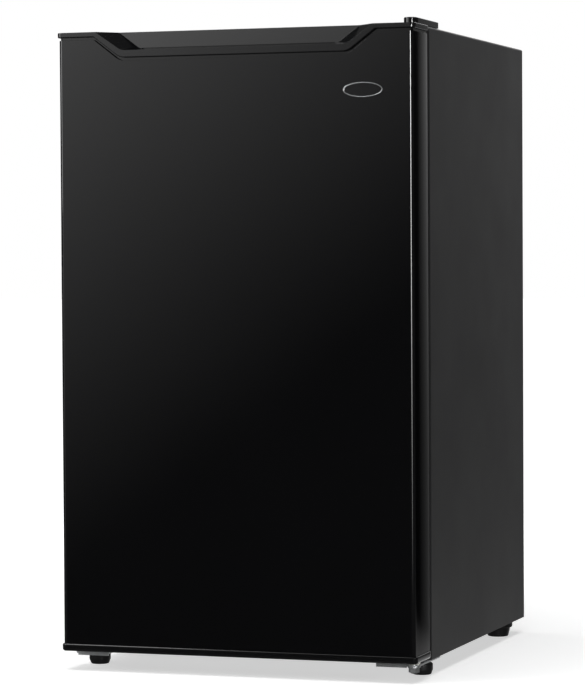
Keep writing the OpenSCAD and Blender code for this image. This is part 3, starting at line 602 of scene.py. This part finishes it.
pick("VERT", lambda c, n: c.y > cap_low.y + pocket_depth - MM)
bpy.ops.transform.resize(value=(pocket_back / notch_top, 1, 1), center_override=(0, 0, 0))
# the back wall leans, and its foot is higher than the lip
pick("VERT", lambda c, n: c.y > cap_low.y + pocket_depth - MM and c.z < lip_z + 12 * MM)
bpy.ops.transform.translate(value=(0, -3.6 * MM, 3 * MM))
leave()
join_shape(top_cap, pocket, "DIFFERENCE")
slot_block = add_block("slot", (-slot_half, cap_low.y + slot_front, slot_low),
                       (slot_half, cap_low.y + pocket_depth - MM, lip_z + 4 * MM))
join_shape(top_cap, slot_block, "DIFFERENCE")
finish_edges(top_cap, 0.5 * MM, 2, 40)

# moulded ABS from a smooth tool: black and glossy, a little softer than the skin, with bright lines on edges
cap_abs = surface("abs_moulded_gloss", "#09090a", (0.11, 0.15), grain=9, depth=0.015, cloud=0.05, patch=80)
stand_for(top_cap, cap_abs, "door", "black_cap", "door_top_cap")
# the groove under the band is painted shade: a near-black, matt, barely reflecting material where the groove
# lies in shadow
groove_painted_shade = surface("abs_black_painted_groove_shade", "#030303", (0.85, 0.95), grain=0.8, depth=0.02,
                     Specular_IOR_Level=0.1)
top_cap.data.materials.append(groove_painted_shade)
# the tub's front faces below the band and beside the lip take the painted shade
edit(top_cap)
pick("FACE", lambda c, n: n.y < -0.5 and c.z < cap_line and c.y > cap_low.y + tub_front - 0.5 * MM
     and c.y < cap_low.y + tub_front + 4 * MM and (c.z < band_low or abs(c.x) > notch_low))
top_cap.active_material_index = 1
bpy.ops.object.material_slot_assign()
leave()

foot_low, foot_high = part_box("door_bottom_cap")
band_top = 34.5 * MM
under_round = 3.5 * MM
edge_round = 1.4 * MM
bottom_cap = add_block("door_bottom_moulding", foot_low, (foot_high.x, foot_high.y, band_top))
edit(bottom_cap)
pick("EDGE", lambda c, d: abs(d.z) > 0.9)
bpy.ops.mesh.bevel(offset=cap_corner, segments=6, affect="EDGES")
pick("EDGE", lambda c, d: near(c.z, foot_low.z))
bpy.ops.mesh.bevel(offset=under_round, segments=4, affect="EDGES")
pick("EDGE", lambda c, d: near(c.z, band_top))
bpy.ops.mesh.bevel(offset=edge_round, segments=3, affect="EDGES")
leave()
finish_edges(bottom_cap, 0)
stand_for(bottom_cap, cap_abs, "door", "black_cap", "door_bottom_cap")

# ---------- Badge ----------
# A thin bright oval ring round a plain glossy black plate, glued to the skin near its top right corner.
# chromium-plated ABS: bright and slightly blue
chrome = surface("chromium_plated_abs", "#e4e6e8", (0.20, 0.28), grain=2, depth=0.004, Metallic=1.0)
shaped("badge_ring", "badge_rim", chrome, "door", "chrome_trim", 0.25 * MM, 2)
shaped("badge_plate", "badge_field", gloss_abs, "door", "black_cap", 0)

# ---------- Door liner and gasket ----------
# The door's white inner skin is vacuum-formed like the cabinet's, with raised walls that hold the bins. A soft
# vinyl gasket with a magnet strip inside is pushed into a groove round it.
dliner_low, dliner_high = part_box("door_liner")
liner_y = -208 * MM
shallow_y = -185 * MM
deep_y = -150 * MM
dyke_x = (166 * MM, 182 * MM)
dyke_z = (72 * MM, 88 * MM, 618 * MM, 752 * MM, 768 * MM)
dyke_round = 2.6 * MM

door_liner = add_block("door_liner_moulding", (dliner_low.x, liner_y - 2 * MM, dliner_low.z),
                       (dliner_high.x, liner_y, dliner_high.z))
edit(door_liner)
for x in dyke_x:
    for side in (-1, 1):
        bpy.ops.mesh.select_all(action="SELECT")
        bpy.ops.mesh.bisect(plane_co=(side * x, 0, 0), plane_no=(1, 0, 0))
for z in dyke_z:
    bpy.ops.mesh.select_all(action="SELECT")
    bpy.ops.mesh.bisect(plane_co=(0, 0, z), plane_no=(0, 0, 1))
pick("FACE", lambda c, n: n.y > 0.9 and abs(c.x) < dyke_x[1] and dyke_z[0] < c.z < dyke_z[4]
     and (abs(c.x) > dyke_x[0] or c.z < dyke_z[1] or c.z > dyke_z[3]))
bpy.ops.mesh.extrude_region_move(TRANSFORM_OT_translate={"value": (0, shallow_y - liner_y, 0)})
pick("FACE", lambda c, n: n.y > 0.9 and near(c.y, shallow_y) and abs(c.x) > dyke_x[0] and c.z < dyke_z[2])
bpy.ops.mesh.extrude_region_move(TRANSFORM_OT_translate={"value": (0, deep_y - shallow_y, 0)})
# the cuts that made no fold are taken out again, in the same order every time
bpy.ops.mesh.select_mode(type="EDGE")
bpy.ops.mesh.select_all(action="DESELECT")
bpy.ops.mesh.edges_select_sharp(sharpness=math.radians(1))
bpy.ops.mesh.select_all(action="INVERT")
bpy.ops.mesh.dissolve_edges(use_verts=True)
leave()
finish_edges(door_liner, dyke_round, 3, 40)
stand_for(door_liner, white_sheet, "door", "white_liner", "door_liner")

gasket_low, gasket_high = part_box("door_gasket")
gasket_width = 20 * MM
fold_at = 5 * MM
fold_width = 1.2 * MM
fold_depth = 1.4 * MM


def frame_outline(inset, y):
    """The gasket's block drawn in by inset on its four sides, between two depths."""
    return ((gasket_low.x + inset, y[0], gasket_low.z + inset),
            (gasket_high.x - inset, y[1], gasket_high.z - inset))


past = 3 * MM
flap_lap = 0.3 * MM
flap_t = 0.8 * MM
gasket = add_block("door_gasket_extrusion", gasket_low, gasket_high)
# its outer flap lies over the white liner's rim and closes round the rim's edge
flap = add_block("flap", (dliner_low.x - flap_lap, dliner_low.y, dliner_low.z - flap_lap),
                 (dliner_high.x + flap_lap, liner_y + flap_t, dliner_high.z + flap_lap))
under = add_block("under", *frame_outline(past, (dliner_low.y - past, liner_y + past)))
join_shape(flap, under, "DIFFERENCE")
join_shape(gasket, flap, "UNION")
middle = add_block("middle", *frame_outline(gasket_width, (gasket_low.y - past, gasket_high.y + past)))
join_shape(gasket, middle, "DIFFERENCE")
# a fold line along each edge of the face, where the bellows meet the magnet's pocket
for at in (fold_at, gasket_width - fold_at - fold_width):
    line_y = (gasket_high.y - fold_depth, gasket_high.y + past)
    fold = add_block("fold", *frame_outline(at, line_y))
    core = add_block("core", *frame_outline(at + fold_width, (line_y[0] - past, line_y[1] + past)))
    join_shape(fold, core, "DIFFERENCE")
    join_shape(gasket, fold, "DIFFERENCE")
finish_edges(gasket, 0.4 * MM, 2, 40)
# extruded soft PVC: nearly black and matt, slightly dusty
vinyl = surface("extruded_soft_pvc", "#0e0e0f", (0.6, 0.72), grain=2.5, depth=0.02, cloud=0.12, patch=30)
stand_for(gasket, vinyl, "door", "gasket_vinyl", "door_gasket")

# ---------- Door bushes ----------
# Nylon bushes pressed into the caps run on the hinge pins, and a plug fills the hole of the other side.
# moulded nylon: off-white and slightly see-through at its edges
nylon = surface("moulded_nylon_natural", "#d6d5cc", (0.38, 0.48), grain=1, depth=0.01, cloud=0.04)
for node in ("upper_bush", "lower_bush"):
    shaped(node, node + "_moulding", nylon, "door", "nylon", 0.4 * MM)
shaped("door_hole_plug", "door_plug_moulding", black_abs, "door", "black_plastic", 0.5 * MM)

# ---------- Door bins ----------
# Clear moulded polystyrene trays that hook between the liner's raised walls, and a rail that keeps tall bottles
# from tipping out. Their rims are rounded and catch the light.
clear = surface("moulded_polystyrene_clear", "#dfe9ec", (0.03, 0.06), grain=5, depth=0.01, cloud=0.02,
                IOR=1.55, Transmission_Weight=0.93)
for node in ("upper_bin", "middle_bin", "bottle_bin", "bottle_retainer"):
    shaped(node, node + "_moulding", clear, "door", "clear_plastic", 0.9 * MM, 3)

# ---------- Freezer box ----------
# Two aluminium sheets are bonded under rollers, with the refrigerant's channel blown up between them, and
# folded to a box that hangs from the liner. A white frame at its mouth carries the flap.
aluminium = surface("roll_bonded_aluminium", "#c3c6c9", (0.34, 0.46), grain=1.2, depth=0.02, cloud=0.05,
                    patch=40, Metallic=1.0)
shaped("evaporator_box", "evaporator_folding", aluminium, "cabinet", "evaporator_sheet", 0.5 * MM)
# moulded ABS, white: clean, with a soft gloss
white_abs = surface("abs_moulded_white", "#eceeef", (0.22, 0.30), grain=0.8, depth=0.006, cloud=0.012, patch=50)
for node in ("evaporator_hangers", "freezer_frame", "thermostat_housing"):
    shaped(node, node + "_moulding", white_abs, "cabinet", "white_plastic", 0.8 * MM, 3)
# moulded polystyrene, milky: light comes through it blurred
milky = surface("moulded_polystyrene_milky", "#e3edf2", (0.22, 0.3), grain=3, depth=0.02, cloud=0.02, IOR=1.55,
                Transmission_Weight=0.45)
shaped("freezer_flap", "freezer_flap_moulding", milky, "freezer_flap", "clear_plastic", 0.8 * MM, 3)
shaped("drip_tray", "drip_tray_moulding", milky, "drip_tray", "clear_plastic", 0.8 * MM, 3)

# ---------- Thermostat ----------
# A white box on the right wall with a knob that turns from off to coldest, and the red defrost button in it.
shaped("thermostat_knob", "knob_moulding", white_abs, "thermostat_knob", "white_plastic", 0.7 * MM, 3)
red_abs = surface("abs_moulded_red", "#b3261f", (0.24, 0.32), grain=0.8, depth=0.006, cloud=0.03)
shaped("defrost_button", "button_moulding", red_abs, "defrost_button", "red_plastic", 0.8 * MM, 3)

# ---------- Shelves and drawer ----------
# Tempered glass with ground edges lies on the liner's ribs, each with a white moulded trim pushed on its front
# edge. A clear drawer stands on the floor under its own glass cover.
glass = surface("tempered_float_glass", "#dcebe6", (0.01, 0.03), grain=40, depth=0.01, cloud=0.01, IOR=1.52,
                Transmission_Weight=0.97)
for level in ("upper", "lower"):
    shaped(f"{level}_shelf_glass", f"{level}_shelf_pane", glass, f"{level}_shelf", "shelf_glass", 0.5 * MM)
    shaped(f"{level}_shelf_trim", f"{level}_trim_moulding", white_abs, f"{level}_shelf", "white_plastic",
           0.6 * MM)
shaped("crisper_cover", "crisper_cover_pane", glass, "cabinet", "shelf_glass", 0.5 * MM)
shaped("crisper_drawer", "crisper_drawer_moulding", clear, "crisper_drawer", "clear_plastic", 0.9 * MM, 3)

# ---------- Camera ----------
# A long lens at counter height, to the right of the fridge's front.
yaw, pitch, roll = 0.326731, 0.031843, -0.005798
aim = Vector((-14.9, 0, 405.756)) * MM
distance = 4.0729
back = Vector((math.sin(yaw) * math.cos(pitch), -math.cos(yaw) * math.cos(pitch), math.sin(pitch)))
right = Vector((math.cos(yaw), math.sin(yaw), 0))
up = back.cross(right)
level_right = right * math.cos(roll) + up * math.sin(roll)
level_up = up * math.cos(roll) - right * math.sin(roll)
camera = bpy.data.objects.new("camera", bpy.data.cameras.new("camera"))
bpy.context.scene.collection.objects.link(camera)
camera.matrix_world = Matrix((level_right, level_up, back)).transposed().to_4x4()
camera.location = aim + back * distance
camera.data.lens = 155.3
camera.data.clip_end = 100
bpy.context.scene.camera = camera

# ---------- Studio ----------
# A pale floor with a painted glow that grows away from the fridge, so that it runs out into a white background,
# and soft boxes round the fridge.
bpy.context.scene.view_settings.view_transform = "Standard"
bpy.ops.mesh.primitive_plane_add(size=60)
floor = bpy.context.object
floor.name = "floor"
floor_paint = bpy.data.materials.new("pale_floor_painted_glow")
floor_paint.use_nodes = True
floor_tree = floor_paint.node_tree
floor_shader = floor_tree.nodes["Principled BSDF"]
floor_shader.inputs["Base Color"].default_value = (0.8, 0.8, 0.8, 1)
floor_shader.inputs["Roughness"].default_value = 0.9
floor_shader.inputs["Specular IOR Level"].default_value = 0.0
# the floor glows with painted light: 0.58 near the fridge, which keeps the shadow under it a light grey, rising
# to 1.1 further out, where the floor turns white
floor_shader.inputs["Emission Color"].default_value = (1, 1, 1, 1)
place = add(floor_tree, "TexCoord")
reach = add(floor_tree, "VectorMath", {"operation": "LENGTH"}, {0: (place, "Object")})
painted_floor_glow = add(floor_tree, "MapRange", {"From Min": 0.7, "From Max": 1.8, "To Min": 0.58, "To Max": 1.1},
             {"Value": (reach, "Value")})
floor_tree.links.new(painted_floor_glow.outputs["Result"], floor_shader.inputs["Emission Strength"])
cover(floor, floor_paint)
floor.visible_glossy = False

world = bpy.data.worlds.new("studio")
bpy.context.scene.world = world
world.use_nodes = True
tree = world.node_tree
background = tree.nodes["Background"]
background.inputs["Color"].default_value = (1, 1, 1, 1)
ray = add(tree, "LightPath")
direction = add(tree, "TexCoord")
split = add(tree, "SeparateXYZ", (), {"Vector": (direction, "Generated")})
height = add(tree, "MapRange", {"From Min": -0.3, "From Max": 0.5, "To Min": 0.10, "To Max": 0.07},
             {"Value": (split, "Z")})
room = add(tree, "Mix", {"data_type": "FLOAT", 3: 1.0}, {0: (ray, "Is Camera Ray"), 2: (height, "Result")})
tree.links.new(room.outputs[0], background.inputs["Strength"])


def soft_box(name, centre, facing, size, power, diffuse=True, mirrored=True):
    """A flat glowing panel that the camera doesn't see. It may light surfaces, show in mirrors, or both."""
    lamp = bpy.data.lights.new(name, "AREA")
    lamp.shape = "RECTANGLE"
    lamp.size, lamp.size_y = size
    lamp.energy = power
    box = bpy.data.objects.new(name, lamp)
    bpy.context.scene.collection.objects.link(box)
    box.location = centre
    box.rotation_mode = "QUATERNION"
    box.rotation_quaternion = (Vector(facing) - Vector(centre)).to_track_quat("-Z", "Y")
    box.visible_camera = False
    box.visible_diffuse = diffuse
    box.visible_glossy = mirrored


soft_box("top_box", (-0.1, -0.5, 3.2), (-0.1, -0.5, 0), (2.6, 2.6), 90, mirrored=False)
soft_box("rear_sky", (0.6, 2.6, 2.8), (0, 0, 0.8), (1.8, 1.6), 30, diffuse=False)
soft_box("left_sky", (-1.65, -0.6, 2.4), (-1.65, -0.6, 0), (1.4, 1.4), 50, diffuse=False)
soft_box("left_box", (-1.7, -1.5, 1.3), (0, 0, 0.6), (0.7, 1.4), 14)


def glowing_card(name, centre, turn, size, strength):
    """An upright card that only mirrors see. strength is built from the card's own place by a function that
    gets the node tree and the separated coordinates, and gives back the node with the brightness."""
    bpy.ops.object.select_all(action="DESELECT")
    upright = (math.radians(90), 0, math.radians(turn))
    bpy.ops.mesh.primitive_plane_add(size=1, location=centre, rotation=upright)
    card = bpy.context.object
    card.name = name
    card.scale = (*size, 1)
    bpy.ops.object.transform_apply(location=True, rotation=True, scale=True)
    paint = bpy.data.materials.new(name + "_light")
    paint.use_nodes = True
    tree = paint.node_tree
    tree.nodes.remove(tree.nodes["Principled BSDF"])
    place = add(tree, "TexCoord")
    split = add(tree, "SeparateXYZ", (), {"Vector": (place, "Object")})
    glow = add(tree, "Emission", (), {"Strength": (strength(tree, split), "Value")})
    tree.links.new(glow.outputs["Emission"], tree.nodes["Material Output"].inputs["Surface"])
    cover(card, paint)
    card.visible_camera = False
    card.visible_diffuse = False
    card.visible_shadow = False


def front_light(tree, split):
    """Brightest at the upper left, and never quite dark."""
    across = add(tree, "Math", {"operation": "MULTIPLY_ADD", 1: -0.53, 2: -0.433}, {0: (split, "X")})
    ramp = add(tree, "Math", {"operation": "MULTIPLY_ADD", 1: 0.69}, {0: (split, "Z"), 2: (across, "Value")})
    least = add(tree, "Math", {"operation": "MAXIMUM", 1: 0.22}, {0: (ramp, "Value")})
    most = add(tree, "Math", {"operation": "MINIMUM", 1: 1.7}, {0: (least, "Value")})
    return add(tree, "Math", {"operation": "POWER", 1: 2.0}, {0: (most, "Value")})


def strip_light(tree, split):
    """Bright at the top and dark at the floor."""
    rise = add(tree, "MapRange", {"From Min": -0.19, "From Max": 1.05, "To Min": 0.0, "To Max": 1.0},
               {"Value": (split, "Z")})
    curve = add(tree, "Math", {"operation": "POWER", 1: 1.4}, {0: (rise, "Result")})
    return add(tree, "Math", {"operation": "MULTIPLY", 1: 50.0}, {0: (curve, "Value")})


def rear_light(tree, split):
    """A dim window behind the fridge on its right: fades towards the right and towards the floor."""
    fade = add(tree, "MapRange", {"From Min": 0.85, "From Max": 1.5, "To Min": 1.0, "To Max": 0.02},
               {"Value": (split, "X")})
    rise = add(tree, "MapRange", {"From Min": -0.3, "From Max": 1.0}, {"Value": (split, "Z")})
    curve = add(tree, "Math", {"operation": "POWER", 1: 2.2}, {0: (rise, "Result")})
    level = add(tree, "Math", {"operation": "MULTIPLY_ADD", 1: 0.29, 2: 0.10}, {0: (curve, "Value")})
    # what only the satin cabinet mirrors: further left, and below the door's own reflections
    beside = add(tree, "MapRange", {"From Min": 0.7, "From Max": 0.5, "To Min": 0.0, "To Max": 0.95},
                 {"Value": (split, "X")})
    below = add(tree, "MapRange", {"From Min": -0.4, "From Max": -0.6, "To Min": 0.0, "To Max": 0.5},
                {"Value": (split, "Z")})
    more = add(tree, "Math", {"operation": "MAXIMUM"}, {0: (beside, "Result"), 1: (below, "Result")})
    faded = add(tree, "Math", {"operation": "MULTIPLY"}, {0: (fade, "Result"), 1: (level, "Value")})
    return add(tree, "Math", {"operation": "ADD"}, {0: (faded, "Value"), 1: (more, "Value")})


glowing_card("front_card", (-1.7, -3.3, 0.9), 180, (3.0, 3.8), front_light)
glowing_card("right_strip", (1.5, -2.45, 0.43), 30, (0.5, 1.24), strip_light)
glowing_card("rear_card", (1.2, 3.4, 0.35), 0, (5.4, 3.5), rear_light)
